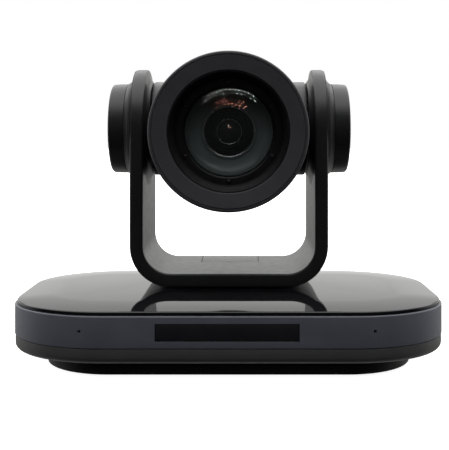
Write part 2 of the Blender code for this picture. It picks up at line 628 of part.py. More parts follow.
def make_lens():
    lens_axis = (0.0, LENS_HEIGHT)
    outer = BEZEL_BORE - GAP
    face = SCREW_RING_FACE
    profile = [(outer, -27.4), (34.4, -27.4), (33.3, -23.0), (32.6, -23.0), (31.6, face),
               (GLASS_RADIUS + GAP, face), (GLASS_RADIUS + GAP, -11.0), (26.4, -11.0), (26.4, -9.0),
               (outer, -9.0), (outer, -19.6), (42.2, -19.6), (42.2, -21.6), (outer, -21.6)]
    ring = turned("lens_recess_ring", profile, "Y", lens_axis, "matte_black", segments=36)
    pieces = [ring]
    for index in range(6):
        angle = math.radians(30.0 + 60.0 * index)
        x = SCREW_RING_RADIUS * math.cos(angle)
        z = LENS_HEIGHT + SCREW_RING_RADIUS * math.sin(angle)
        cut(ring, rod(f"cut_lens_screw_{index + 1}", 1.45, "Y", (x, z), face - 1.0, face + 4.0, segments=8))
        pieces.append(machine_screw(f"lens_screw_{index + 1}", "Y", (x, z), face - 0.3, 1, 1.15, 0.7,
                                    4.0, "black_screw"))
    profile = [(0.0, -16.8), (9.0, -16.5), (18.0, -15.6), (GLASS_RADIUS, -14.0), (GLASS_RADIUS, -11.3),
               (0.0, -11.3)]
    pieces.append(turned("front_lens", profile, "Y", lens_axis, "glass", segments=28))
    profile = [(TUBE_BORE, -4.4), (17.2, -4.4), (21.6, -5.7), (25.8, -10.6), (26.1, -10.6), (26.1, -8.7),
               (34.0, -8.7), (34.0, -7.0), (TUBE_RADIUS, -3.0), (TUBE_RADIUS, 26.0), (12.0, 26.0),
               (12.0, 24.6), (TUBE_BORE, 24.6)]
    pieces.append(turned("lens_barrel", profile, "Y", lens_axis, "matte_black", segments=24))
    block = box("camera_block", (-19.0, 26.4, LENS_HEIGHT - 19.0), (19.0, 44.0, LENS_HEIGHT + 19.0),
                "aluminium")
    cut(block, rod("cut_light_path", 11.0, "Y", lens_axis, 20.0, 50.0))
    pieces.append(block)
    pieces.append(box("sensor_board", (-17.0, 44.4, LENS_HEIGHT - 17.0), (17.0, 46.0, LENS_HEIGHT + 17.0),
                      "board"))

    cell = TUBE_BORE - 0.2
    profile = [(0.0, -1.4), (4.0, -1.1), (7.3, 0.0), (7.6, -1.2), (11.5, -2.2), (cell, -2.2), (cell, 7.0),
               (0.0, 7.0)]
    zoom_group = turned("zoom_group", profile, "Y", lens_axis, "glass", segments=24)
    profile = [(0.0, 18.2), (6.0, 18.6), (9.0, 19.2), (cell, 19.2), (cell, 22.8), (0.0, 22.8)]
    focus_group = turned("focus_group", profile, "Y", lens_axis, "glass", segments=24)
    return pieces, zoom_group, focus_group


# Assembly

def pivot(name, x, y, z, parent=None):
    """Empty on a joint's axis; the pieces that turn about it are its children."""
    empty = bpy.data.objects.new(name, None)
    empty.empty_display_size = 0.01
    bpy.context.scene.collection.objects.link(empty)
    empty.location = (x * MM, y * MM, z * MM)
    if parent:
        empty.parent = parent
        bpy.context.view_layer.update()
        empty.matrix_parent_inverse = parent.matrix_world.inverted()
    bpy.context.view_layer.update()
    return empty


def hang_on(parent, pieces):
    inverse = parent.matrix_world.inverted()
    for piece in pieces:
        piece.parent = parent
        piece.matrix_parent_inverse = inverse


def main():
    clear_scene()
    make_plinth()
    make_lower_shell()
    make_band()
    make_top_cover()
    make_window()
    make_boards()
    make_connector_panel()
    make_base_fittings()
    pan_pinion, pan_pieces = make_pan_drive()
    yoke_pieces = make_yoke()
    hub_pieces = make_hubs()
    tilt_motor, tilt_pinion, tilt_pieces = make_tilt_drive()
    head_pieces = make_head()
    lens_pieces, zoom_group, focus_group = make_lens()

    pan = pivot("pan_axis", 0.0, PAN_Y, YOKE_BOTTOM)
    tilt = pivot("tilt_axis", 0.0, PAN_Y, TILT_HEIGHT, pan)
    pan_pinion_pivot = pivot("pan_pinion_axis", -PAN_DISTANCE, PAN_Y, PAN_GEAR_LOW)
    tilt_pinion_pivot = pivot("tilt_pinion_axis", -TILT_GEAR_NEAR, PAN_Y, TILT_HEIGHT + TILT_DISTANCE, pan)
    hang_on(pan, (*pan_pieces, *yoke_pieces, *hub_pieces, tilt_motor))
    hang_on(tilt, (*tilt_pieces, *head_pieces, *lens_pieces, zoom_group, focus_group))
    hang_on(pan_pinion_pivot, (pan_pinion,))
    hang_on(tilt_pinion_pivot, (tilt_pinion,))


main()
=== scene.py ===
"""Studio scene and finished surfaces for the PTZ camera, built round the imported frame."""
import json
import math

import bmesh
import bpy
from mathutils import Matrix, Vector


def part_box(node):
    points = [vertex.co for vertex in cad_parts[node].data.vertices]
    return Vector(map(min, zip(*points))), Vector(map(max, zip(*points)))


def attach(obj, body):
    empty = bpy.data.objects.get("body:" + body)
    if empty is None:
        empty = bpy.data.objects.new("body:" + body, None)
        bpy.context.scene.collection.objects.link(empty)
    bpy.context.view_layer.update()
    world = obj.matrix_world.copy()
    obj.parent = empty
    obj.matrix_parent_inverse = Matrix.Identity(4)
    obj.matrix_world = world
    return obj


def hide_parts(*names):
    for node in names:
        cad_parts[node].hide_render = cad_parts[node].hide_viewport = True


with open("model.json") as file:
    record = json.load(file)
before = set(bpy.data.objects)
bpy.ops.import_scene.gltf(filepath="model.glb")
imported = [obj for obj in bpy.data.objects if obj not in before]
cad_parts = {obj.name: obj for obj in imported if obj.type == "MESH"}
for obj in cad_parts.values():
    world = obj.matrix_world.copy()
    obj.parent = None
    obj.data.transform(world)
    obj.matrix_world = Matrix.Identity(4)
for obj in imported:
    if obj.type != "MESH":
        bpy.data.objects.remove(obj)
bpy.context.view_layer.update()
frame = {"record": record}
MM = 0.001

# Driving places, in millimetres, read from the frame.


def node_box(name):
    low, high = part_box(name)
    return [value / MM for value in low], [value / MM for value in high]


JOINTS = {joint["name"]: joint for joint in frame["record"]["behaviour"]["joints"]}
PAN_Y = JOINTS["pan"]["pos_m"][1] / MM
TILT_Z = JOINTS["tilt"]["pos_m"][2] / MM
BASE_LOW, BASE_HIGH = node_box("base_band")
COVER_LOW, COVER_HIGH = node_box("base_top_cover")
YOKE_LOW, YOKE_HIGH = node_box("yoke_outer_shell")
BEZEL_LOW, BEZEL_HIGH = node_box("front_bezel")
LENS_Z = (BEZEL_LOW[2] + BEZEL_HIGH[2]) / 2
PLINTH_LOW, PLINTH_HIGH = node_box("base_plinth")
LOWER_LOW, LOWER_HIGH = node_box("base_lower_shell")

HALF_WIDTH = BASE_HIGH[0]
HALF_DEPTH = BASE_HIGH[1]
CORNER_WIDTH = 56.0
FRONT_CORNER = 46.0
REAR_CORNER = 48.0
PLINTH_CORNER_WIDTH = 40.0
PLINTH_CORNER_DEPTH = 38.0
MIC_X = 78.2
MIC_HEIGHT = 28.5
MIC_RADIUS = 0.85
BARREL_RADIUS = 45.0
BARREL_BORE = 42.6
SCREW_RING_RADIUS = 29.4
SCREW_RING_FACE = -17.0
LAMP_PLANE_Y = -0.62

AXES = {"X": Vector((1, 0, 0)), "Y": Vector((0, 1, 0)), "Z": Vector((0, 0, 1))}


# Materials


class Recipe:
    """A small helper round one material's node tree."""

    def __init__(self, name):
        self.material = bpy.data.materials.new(name)
        self.material.use_nodes = True
        self.nodes = self.material.node_tree.nodes
        self.links = self.material.node_tree.links
        self.shader = self.nodes["Principled BSDF"]
        coordinates = self.nodes.new("ShaderNodeTexCoord")
        self.place = coordinates.outputs["Object"]

    def noise(self, scale, detail=4.0, stretch=None):
        node = self.nodes.new("ShaderNodeTexNoise")
        node.inputs["Scale"].default_value = scale
        node.inputs["Detail"].default_value = detail
        source = self.place
        if stretch:
            mapping = self.nodes.new("ShaderNodeMapping")
            mapping.inputs["Scale"].default_value = stretch
            self.links.new(self.place, mapping.inputs["Vector"])
            source = mapping.outputs["Vector"]
        self.links.new(source, node.inputs["Vector"])
        return node.outputs["Fac"]

    def spread(self, value, low, high, start=0.3, end=0.7):
        node = self.nodes.new("ShaderNodeMapRange")
        node.inputs["From Min"].default_value = start
        node.inputs["From Max"].default_value = end
        node.inputs["To Min"].default_value = low
        node.inputs["To Max"].default_value = high
        self.links.new(value, node.inputs["Value"])
        return node.outputs["Result"]

    def colours(self, value, dark, light):
        node = self.nodes.new("ShaderNodeMix")
        node.data_type = "RGBA"
        node.inputs[6].default_value = (*dark, 1.0)
        node.inputs[7].default_value = (*light, 1.0)
        self.links.new(value, node.inputs[0])
        self.links.new(node.outputs[2], self.shader.inputs["Base Color"])

    def roughness(self, value):
        self.links.new(value, self.shader.inputs["Roughness"])

    def bump(self, height, distance, strength=1.0):
        node = self.nodes.new("ShaderNodeBump")
        node.inputs["Distance"].default_value = distance
        node.inputs["Strength"].default_value = strength
        self.links.new(height, node.inputs["Height"])
        self.links.new(node.outputs["Normal"], self.shader.inputs["Normal"])

    def set(self, **values):
        for name, value in values.items():
            self.shader.inputs[name.replace("_", " ")].default_value = value


def moulded(name, dark, light, rough, grain_scale, grain_depth, specular=0.5):
    """Moulded or painted plastic: mottled colour, uneven gloss and a fine grain."""
    recipe = Recipe(name)
    recipe.colours(recipe.spread(recipe.noise(60.0), 0.0, 1.0), dark, light)
    recipe.roughness(recipe.spread(recipe.noise(240.0), rough[0], rough[1]))
    recipe.bump(recipe.noise(grain_scale, 2.0), grain_depth)
    recipe.set(Specular_IOR_Level=specular)
    return recipe.material


def brushed(name, colour, rough, stretch):
    """Bare metal with fine directional lines."""
    recipe = Recipe(name)
    light = tuple(min(1.0, channel * 1.15) for channel in colour)
    recipe.colours(recipe.spread(recipe.noise(90.0), 0.0, 1.0), colour, light)
    recipe.roughness(recipe.spread(recipe.noise(400.0, 3.0, stretch), rough - 0.08, rough + 0.1))
    recipe.bump(recipe.noise(900.0, 2.0, stretch), 0.00002, 0.5)
    recipe.set(Metallic=1.0)
    return recipe.material


def ring_grain(name, dark, light, rough, pitch, depth):
    """Matte paint over fine turned rings round the lens axis."""
    recipe = Recipe(name)
    recipe.colours(recipe.spread(recipe.noise(120.0), 0.0, 1.0), dark, light)
    recipe.roughness(recipe.spread(recipe.noise(500.0), rough[0], rough[1]))
    mapping = recipe.nodes.new("ShaderNodeMapping")
    mapping.inputs["Location"].default_value = (0.0, 0.0, -LENS_Z * MM)
    mapping.inputs["Scale"].default_value = (1.0, 0.0, 1.0)
    recipe.links.new(recipe.place, mapping.inputs["Vector"])
    wave = recipe.nodes.new("ShaderNodeTexWave")
    wave.wave_type = "RINGS"
    wave.rings_direction = "SPHERICAL"
    wave.inputs["Scale"].default_value = math.tau / (20.0 * pitch * MM)
    wave.inputs["Distortion"].default_value = 0.0
    recipe.links.new(mapping.outputs["Vector"], wave.inputs["Vector"])
    grain = recipe.noise(1600.0, 2.0)
    mix = recipe.nodes.new("ShaderNodeMath")
    mix.operation = "MULTIPLY_ADD"
    mix.inputs[1].default_value = 0.45
    recipe.links.new(grain, mix.inputs[0])
    recipe.links.new(wave.outputs["Fac"], mix.inputs[2])
    recipe.bump(mix.outputs["Value"], depth)
    recipe.set(Specular_IOR_Level=0.7)
    return recipe.material


def painted_sheen_bowl(name, dark, light, low, high):
    """Bowl behind the front glass: its colour is painted lighter low down and darker towards its top, a
    painted sheen and painted shade.
    """
    recipe = Recipe(name)
    split = recipe.nodes.new("ShaderNodeSeparateXYZ")
    recipe.links.new(recipe.place, split.inputs["Vector"])
    # Painted shade: the colour fades from the painted sheen at the bottom of the bowl to dark at its top.
    height = recipe.spread(split.outputs["Z"], 1.0, 0.0, low * MM, high * MM)
    mottle = recipe.spread(recipe.noise(120.0), 0.85, 1.0)
    product = recipe.nodes.new("ShaderNodeMath")
    product.operation = "MULTIPLY"
    recipe.links.new(height, product.inputs[0])
    recipe.links.new(mottle, product.inputs[1])
    recipe.colours(product.outputs["Value"], dark, light)
    recipe.roughness(recipe.spread(recipe.noise(240.0), 0.34, 0.42))
    recipe.bump(recipe.noise(1500.0, 2.0), 0.000004)
    recipe.set(Specular_IOR_Level=0.5)
    return recipe.material


def coated_glass(name, tint, coat_tint):
    """Multicoated optical glass: a mostly clear surface that keeps a thin, sharp reflection."""
    recipe = Recipe(name)
    recipe.colours(recipe.spread(recipe.noise(30.0), 0.0, 1.0), tint, tuple(c * 1.2 for c in tint))
    recipe.roughness(recipe.spread(recipe.noise(80.0), 0.014, 0.018))
    recipe.set(Alpha=0.06, Metallic=1.0, Specular_Tint=(*coat_tint, 1.0))
    return recipe.material


PIANO = moulded("piano_black_gloss", (0.004, 0.004, 0.005), (0.006, 0.006, 0.007), (0.03, 0.07), 900.0,
                0.000002)
BAND = moulded("blue_grey_satin", (0.070, 0.074, 0.092), (0.078, 0.083, 0.102), (0.36, 0.46), 2600.0,
               0.00003)
LOWER = moulded("warm_grey_satin", (0.036, 0.036, 0.036), (0.042, 0.042, 0.042), (0.40, 0.52), 2400.0,
                0.00003)
PLINTH = moulded("matte_black_shell", (0.006, 0.006, 0.0065), (0.008, 0.008, 0.009), (0.5, 0.65), 2000.0,
                 0.00003)
SATIN = moulded("satin_black_shell", (0.0090, 0.0090, 0.0095), (0.0105, 0.0105, 0.0115), (0.34, 0.40),
                2600.0, 0.0000015, specular=0.48)
RECESS = moulded("flocked_black", (0.003, 0.003, 0.0035), (0.005, 0.005, 0.006), (0.42, 0.55), 1800.0,
                 0.00002, 0.32)
WINDOW = moulded("window_gloss", (0.010, 0.010, 0.012), (0.013, 0.013, 0.015), (0.05, 0.10), 700.0,
                 0.000002)
RUBBER = moulded("foot_rubber", (0.010, 0.010, 0.010), (0.016, 0.016, 0.016), (0.75, 0.9), 1500.0,
                 0.00006, 0.3)
BOARD = moulded("solder_mask", (0.006, 0.045, 0.02), (0.010, 0.065, 0.03), (0.3, 0.45), 700.0, 0.00004)
ACETAL = moulded("acetal", (0.66, 0.65, 0.61), (0.74, 0.73, 0.69), (0.4, 0.5), 900.0, 0.00002)
STEEL = brushed("zinc_steel", (0.45, 0.45, 0.46), 0.34, (1.0, 12.0, 1.0))
ALUMINIUM = brushed("cast_aluminium", (0.60, 0.61, 0.62), 0.42, (1.0, 1.0, 1.0))
BRASS = brushed("turned_brass", (0.60, 0.44, 0.18), 0.30, (1.0, 1.0, 8.0))
BEZEL = ring_grain("bezel_turned_paint", (0.031, 0.0305, 0.035), (0.036, 0.0355, 0.040), (0.42, 0.50), 0.55,
                   0.00004)
# Lens bowl with painted sheen low down and painted shade towards its top.
BOWL_PAINTED_SHEEN = painted_sheen_bowl("lens_bowl_painted_sheen", (0.005, 0.006, 0.006), (0.060, 0.073, 0.073), LENS_Z - 2.0,
                  LENS_Z + 18.0)
RIM = brushed("polished_rim", (0.80, 0.80, 0.82), 0.20, (1.0, 1.0, 1.0))
SCREW = brushed("blackened_steel", (0.10, 0.10, 0.11), 0.30, (1.0, 1.0, 1.0))
GLASS = coated_glass("coated_glass", (0.58, 0.66, 0.63), (0.75, 1.0, 0.92))
SLOT_MATERIALS = {
    "piano_black": PIANO, "blue_grey": BAND, "warm_grey": LOWER, "matte_black": PLINTH, "satin_black": SATIN,
    "bezel_grey": BEZEL, "window": WINDOW, "rubber": RUBBER, "steel": STEEL, "black_screw": SCREW,
    "aluminium": ALUMINIUM, "brass": BRASS, "board": BOARD, "acetal": ACETAL, "glass": GLASS,
}


def finish_cad_nodes():
    """Give every carried-over CAD node its procedural material."""
    for part in frame["record"]["subparts"]:
        item = bpy.data.objects.get(part["node"])
        material = SLOT_MATERIALS[part["material_slot"]]
        if item.material_slots:
            for slot in item.material_slots:
                slot.material = material
        else:
            item.data.materials.append(material)


# Mesh tools


def finish_mesh(name, bm, material, sharp=35.0):
    """Turn a bmesh drawn in millimetres into a smooth-shaded object in metres."""
    bmesh.ops.remove_doubles(bm, verts=bm.verts, dist=0.0005)
    bmesh.ops.recalc_face_normals(bm, faces=bm.faces)
    bmesh.ops.scale(bm, verts=bm.verts, vec=(MM, MM, MM))
    mesh = bpy.data.meshes.new(name)
    bm.to_mesh(mesh)
    bm.free()
    mesh.shade_smooth()
    mesh.set_sharp_from_angle(angle=math.radians(sharp))
    mesh.materials.append(material)
    item = bpy.data.objects.new(name, mesh)
    bpy.context.scene.collection.objects.link(item)
    return item


def settle(item, sharp=35.0):
    """Apply an object's modifiers to its mesh."""
    bpy.context.view_layer.update()
    graph = bpy.context.evaluated_depsgraph_get()
    mesh = bpy.data.meshes.new_from_object(item.evaluated_get(graph))
    item.modifiers.clear()
    item.data = mesh
    mesh.shade_smooth()
    mesh.set_sharp_from_angle(angle=math.radians(sharp))
    return item


def carve(item, tools, operation="DIFFERENCE", sharp=35.0):
    """Cut, or join, tool shapes into an object and drop the tools."""
    for tool in tools:
        modifier = item.modifiers.new(tool.name, "BOOLEAN")
        modifier.operation = operation
        modifier.solver = "EXACT"
        modifier.object = tool
    settle(item, sharp)
    for tool in tools:
        bpy.data.objects.remove(tool, do_unlink=True)
    return item


def show(item, body, slot, *nodes):
    """Ride on a body and stand for the CAD nodes named; the slot argument is not used."""
    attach(item, body)
    if nodes:
        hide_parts(*nodes)
    return item


def place(axis, u, v, along):
    if axis == "X":
        return Vector((along, u, v))
    if axis == "Y":
        return Vector((u, along, v))
    return Vector((u, v, along))


def skin(bm, rings, closed):
    """Quads between equal rings of points; ends are capped, or joined when closed."""
    loops = [[bm.verts.new(point) for point in ring] for ring in rings]
    count = len(loops[0])
    pairs = list(zip(loops, loops[1:]))
    if closed:
        pairs.append((loops[-1], loops[0]))
    for low, high in pairs:
        for i in range(count):
            j = (i + 1) % count
            bm.faces.new((low[i], low[j], high[j], high[i]))
    if not closed:
        bm.faces.new(loops[0])
        bm.faces.new(loops[-1])


def turned(name, profile, axis, centre, material, segments=96, sharp=35.0):
    """Spin a (radius, distance along the axis) profile; on-axis ends make a solid."""
    bm = bmesh.new()
    verts = [bm.verts.new(place(axis, centre[0] + r, centre[1], along)) for r, along in profile]
    edges = [bm.edges.new(pair) for pair in zip(verts, verts[1:])]
    if profile[0][0] > 0.0:
        edges.append(bm.edges.new((verts[-1], verts[0])))
    bmesh.ops.spin(bm, geom=verts + edges, cent=place(axis, centre[0], centre[1], 0.0), axis=AXES[axis],
                   angle=math.tau, steps=segments, use_merge=True, use_duplicate=False)
    return finish_mesh(name, bm, material, sharp)


def rod(name, radius, axis, centre, low, high, material, segments=48):
    profile = [(0.0, low), (radius, low), (radius, high), (0.0, high)]
    return turned(name, profile, axis, centre, material, segments)


def slab(name, outline, axis, low, high, material, edge=0.0, edge_steps=3):
    """Extruded outline, with an optional rounded edge round both ends."""
    bm = bmesh.new()
    face = bm.faces.new([bm.verts.new(place(axis, u, v, low)) for u, v in outline])
    grown = bmesh.ops.extrude_face_region(bm, geom=[face])["geom"]
    verts = [item for item in grown if isinstance(item, bmesh.types.BMVert)]
    bmesh.ops.translate(bm, verts=verts, vec=AXES[axis] * (high - low))
    if edge:
        bmesh.ops.recalc_face_normals(bm, faces=bm.faces)
        sharp_edges = [e for e in bm.edges if e.is_manifold and e.calc_face_angle(0.0) > math.radians(40.0)]
        bmesh.ops.bevel(bm, geom=sharp_edges, offset=edge, segments=edge_steps, profile=0.5,
                        affect="EDGES", clamp_overlap=True)
    return finish_mesh(name, bm, material)


def block(name, low, high, material, edge=0.0, edge_steps=3):
    outline = [(low[0], low[1]), (high[0], low[1]), (high[0], high[1]), (low[0], high[1])]
    return slab(name, outline, "Z", low[2], high[2], material, edge, edge_steps)


def quarter(centre_r, centre_a, radius, start, end, steps=6):
    """Arc of a profile, as (radius, along) points; angles in degrees from the radial direction."""
    points = []
    for step in range(steps + 1):
        angle = math.radians(start + (end - start) * step / steps)
        points.append((centre_r + radius * math.cos(angle), centre_a + radius * math.sin(angle)))
    return points


def mirrored(profile, side):
    return [(radius, side * along) for radius, along in profile]


# Base

RING_STEPS = 24


def plan_ring(half_width, front, rear, corner_width, front_depth, rear_depth, z):
    """Plan outline with elliptical corners and evenly split straight runs."""
    corners = (
        (1, -front + front_depth, front_depth, -90),
        (1, rear - rear_depth, rear_depth, 0),
        (-1, rear - rear_depth, rear_depth, 90),
        (-1, -front + front_depth, front_depth, 180),
    )
    points = []
    for side, centre_y, depth, start in corners:
        centre_x = side * (half_width - corner_width)
        for step in range(RING_STEPS + 1):
            angle = math.radians(start + 90.0 * step / RING_STEPS)
            x = centre_x + corner_width * math.cos(angle)
            y = centre_y + depth * math.sin(angle)
            points.append((x, y, z))
    return points


def base_ring(inset, z):
    return plan_ring(HALF_WIDTH - inset, HALF_DEPTH - inset, HALF_DEPTH - inset, CORNER_WIDTH - inset,
                     FRONT_CORNER - inset, REAR_CORNER - inset, z)


def plinth_ring(inset, z):
    depth = PLINTH_CORNER_DEPTH - inset
    return plan_ring(PLINTH_HIGH[0] - inset, -PLINTH_LOW[1] - inset, PLINTH_HIGH[1] - inset,
                     PLINTH_CORNER_WIDTH - inset, depth, depth, z)


def lofted(name, rings, material, closed=False, sharp=35.0):
    bm = bmesh.new()
    skin(bm, rings, closed)
    return finish_mesh(name, bm, material, sharp)


def arc_rings(ring, inset, z, radius, start, end, steps=5):
    """Rings along a rounded edge whose centre is at an inset and a height."""
    rings = []
    for step in range(steps + 1):
        angle = math.radians(start + (end - start) * step / steps)
        rings.append(ring(inset - radius * math.cos(angle), z + radius * math.sin(angle)))
    return rings


def make_base():
    wall = 2.5
    band_low, band_high = BASE_LOW[2], BASE_HIGH[2]
    rings = arc_rings(base_ring, 0.45, band_low + 0.45, 0.45, -90, 0, 4)
    rings += arc_rings(base_ring, 0.7, band_high - 0.7, 0.7, 0, 90, 6)
    rings += [base_ring(wall, band_high), base_ring(wall, band_low)]
    band = lofted("base_band_skin", rings, BAND, closed=True)
    window_low, window_high = node_box("display_window")
    margin = 0.22
    tools = [block("tool_window", (window_low[0] - margin, -72.0, window_low[2] - margin),
                   (window_high[0] + margin, -60.0, window_high[2] + margin), BAND)]
    panel_low, panel_high = node_box("io_panel")
    tools.append(block("tool_panel", (panel_low[0] - 0.3, 60.0, panel_low[2] - 0.3),
                       (panel_high[0] + 0.3, 72.0, panel_high[2] + 0.3), BAND))
    for side in (-1, 1):
        spot = (side * MIC_X, MIC_HEIGHT)
        tools.append(rod(f"tool_mic_{side + 1}", MIC_RADIUS, "Y", spot, -72.0, -60.0, BAND, 20))
    show(carve(band, tools), "base", "blue_grey", "base_band")

    window = block("display_window_pane", window_low, window_high, WINDOW, 0.35, 3)
    show(window, "base", "window", "display_window")

    low, high = LOWER_LOW[2], LOWER_HIGH[2]
    fillet = 3.7
    rings = [base_ring(4.4, low)]
    rings += arc_rings(base_ring, 0.3 + fillet, low + fillet, fillet, -90, 0, 8)
    rings += arc_rings(base_ring, 0.6, high - 0.3, 0.3, 0, 90, 3)
    rings += [base_ring(2.8, high), base_ring(2.8, low + 4.0), base_ring(5.4, low + 2.0)]
    shell = lofted("base_lower_shell_skin", rings, LOWER)
    show(shell, "base", "warm_grey", "base_lower_shell")

    low, high = PLINTH_LOW[2], PLINTH_HIGH[2]
    rings = [plinth_ring(0.7, low)]
    rings += arc_rings(plinth_ring, 0.7, low + 0.7, 0.7, -80, 0, 3)
    rings += [plinth_ring(0.0, high), plinth_ring(3.5, high), plinth_ring(3.5, low + 3.0)]
    plinth = lofted("base_plinth_skin", rings, PLINTH)
    tools = []
    for index in range(1, 5):
        foot_low, foot_high = node_box(f"rubber_foot_{index}")
        spot = ((foot_low[0] + foot_high[0]) / 2, (foot_low[1] + foot_high[1]) / 2)
        tools.append(rod(f"tool_foot_{index}", 7.3, "Z", spot, 0.0, low + 1.0, PLINTH))
        screw_low, screw_high = node_box(f"base_screw_{index}")
        spot = ((screw_low[0] + screw_high[0]) / 2, (screw_low[1] + screw_high[1]) / 2)
        steps = [(0.0, 0.5), (3.4, 0.5), (3.4, 3.7), (1.8, 3.7), (1.8, 6.0), (0.0, 6.0)]
        tools.append(turned(f"tool_screw_{index}", steps, "Z", spot, PLINTH, 32))
    tools.append(rod("tool_bush", 6.3, "Z", (0.0, 0.0), 0.0, 6.0, PLINTH))
    show(carve(plinth, tools), "base", "matte_black", "base_plinth")

    make_top_cover()


def make_top_cover():
    """Glossy cover: rounded rim, gently crowned border, flat middle, hole for the turntable."""
    low, high = COVER_LOW[2], COVER_HIGH[2]
    crown = 24.0
    rim_inset, rim_top = 2.1, high - 1.25
    rings = []
    for step in range(11):
        share = step / 10
        inset = crown + (rim_inset - crown) * share
        rings.append(base_ring(inset, high - (high - rim_top) * (0.35 * share + 0.65 * share ** 2)))
    rings += arc_rings(base_ring, rim_inset + 0.1, rim_top - 0.92, 0.9, 84, 0, 6)
    rings += [base_ring(1.3, low), base_ring(5.0, low), base_ring(6.5, low + 0.6),
              base_ring(crown, high - 2.2)]
    cover = lofted("base_top_cover_skin", rings, PIANO, sharp=50.0)
    hole = rod("tool_turntable", 31.0, "Z", (0.0, PAN_Y), 30.0, 45.0, PIANO, 96)
    show(carve(cover, [hole], sharp=50.0), "base", "piano_black", "base_top_cover")


# Yoke

YOKE_T = 8.0
YOKE_R = (YOKE_HIGH[1] - YOKE_LOW[1]) / 2
YOKE_HALF = 59.4
YOKE_CORNER = 24.4


def yoke_section():
    """Rounded edge of the yoke from its outer face to its inner face: (inset, depth) points."""
    outer_round, inner_round, seam = 1.7, 1.1, 2.0
    points = []
    for step in range(7):
        angle = math.radians(90.0 * step / 6)
        points.append((outer_round * (1.0 - math.sin(angle)), outer_round * (1.0 - math.cos(angle))))
    for step in range(6):
        angle = math.radians(90.0 * step / 5)
        points.append((inner_round * (1.0 - math.cos(angle)),
                       YOKE_T - inner_round * (1.0 - math.sin(angle))))
    points += [(seam, YOKE_T), (seam + 0.04, YOKE_T - 0.35), (seam + 0.26, YOKE_T - 0.35),
               (seam + 0.3, YOKE_T)]
    return points


def make_yoke_skin():
    """Seamless U with rounded edges and round arm tops, and a fine seam where the liner sits."""
    section = yoke_section()
    corner_z = YOKE_LOW[2] + YOKE_CORNER
    stations = []
    tip_steps, bend_steps = 18, 12
    for side in (-1, 1):
        half = []
        for step in range(tip_steps + 1):
            angle = math.radians(90.0 * (1.0 - step / tip_steps))
            half.append(("arm", side, TILT_Z, angle))
        for share in (0.33, 0.66, 1.0):
            half.append(("arm", side, TILT_Z + (corner_z - TILT_Z) * share, 0.0))
        for step in range(1, bend_steps + 1):
            half.append(("bend", side, math.radians(90.0 * step / bend_steps), 0.0))
        stations += half if side < 0 else half[::-1]
    rings = []
    for kind, side, value, tip in stations:
        ring = []
        for direction in (1, -1):
            run = section if direction > 0 else section[::-1]
            for inset, depth in run:
                reach = YOKE_R - inset
                y = PAN_Y + direction * reach * math.cos(tip)
                if kind == "arm":
                    x = side * (YOKE_HALF - depth)
                    z = value + reach * math.sin(tip)
                else:
                    radius = YOKE_CORNER - depth
                    x = side * (YOKE_HALF - YOKE_CORNER + radius * math.cos(value))
                    z = corner_z - radius * math.sin(value)
                ring.append((x, y, z))
        rings.append(ring)
    bm = bmesh.new()
    loops = [[bm.verts.new(point) for point in ring] for ring in rings]
    count = len(loops[0])
    for low, high in zip(loops, loops[1:]):
        for i in range(count):
            j = (i + 1) % count
            bm.faces.new((low[i], low[j], high[j], high[i]))
    bmesh.ops.remove_doubles(bm, verts=bm.verts, dist=0.0005)
    yoke = finish_mesh("yoke_skin", bm, SATIN, 30.0)
    lid_low, lid_high = node_box("bar_cover")
    gap = 0.25
    pocket = block("tool_lid", (lid_low[0] - gap, lid_low[1] - gap, lid_low[2] + 0.3),
                   (lid_high[0] + gap, lid_high[1] + gap, lid_high[2] + 5.0), SATIN)
    bore = rod("tool_trunnions", 11.3, "X", (PAN_Y, TILT_Z), -62.0, 62.0, SATIN)
    cable = rod("tool_cable", 8.0, "Z", (0.0, PAN_Y), 38.0, lid_low[2] - 0.2, SATIN)
    carve(yoke, [pocket, bore, cable], sharp=30.0)
    return yoke


def make_yoke():
    axis = (PAN_Y, TILT_Z)
    yoke = make_yoke_skin()
    collar = [(25.6, 58.9), (36.6, 58.9), (36.9, 59.42), (35.4, 59.6), (33.9, 59.95), (32.5, 60.45),
              (31.2, 61.1), (30.1, 61.9), (29.3, 62.8), (28.75, 63.6), (28.4, 64.15), (28.2, 64.4),
              (25.6, 64.4)]
    boss = [(11.3, 51.9), (35.6, 51.9), (35.8, 51.36), (34.1, 51.1), (32.5, 50.7), (31.2, 50.1),
            (30.2, 49.4), (29.5, 48.8), (29.2, 48.5), (11.3, 48.5)]
    cap = [(0.0, 73.4), (18.0, 73.0), (25.6, 71.2), (25.6, 64.55), (28.2, 64.55), (28.3, 64.65),
           (28.25, 68.5), (28.0, 72.5)]
    cap += quarter(26.4, 72.5, 1.6, 0, 78, 6)
    cap += [(23.0, 74.5), (19.0, 74.95), (14.0, 75.3), (9.0, 75.5), (4.0, 75.59), (0.0, 75.6)]
    for side, name in ((-1, "left"), (1, "right")):
        collar_body = turned(f"hub_collar_{name}", mirrored(collar, side), "X", axis, SATIN, 128)
        show(collar_body, "yoke", "satin_black")
        boss_body = turned(f"hub_boss_{name}", mirrored(boss, side), "X", axis, SATIN, 128)
        show(boss_body, "yoke", "satin_black")
        cap_body = turned(f"hub_cap_{name}_skin", mirrored(cap, side), "X", axis, SATIN, 128)
        show(cap_body, "yoke", "satin_black", f"hub_cap_{name}")
    show(yoke, "yoke", "satin_black", "yoke_outer_shell", "yoke_inner_liner")

    lid_low, lid_high = node_box("bar_cover")
    notch = 2.4
    outline = [(lid_low[0], lid_low[1]), (-notch, lid_low[1]), (-notch + 0.8, lid_low[1] + 1.2),
               (notch - 0.8, lid_low[1] + 1.2), (notch, lid_low[1]), (lid_high[0], lid_low[1]),
               (lid_high[0], lid_high[1]), (lid_low[0], lid_high[1])]
    lid = slab("bar_lid", outline, "Z", lid_low[2] + 0.4, lid_high[2], SATIN, 0.3, 3)
    show(lid, "yoke", "satin_black", "bar_cover")


# Head


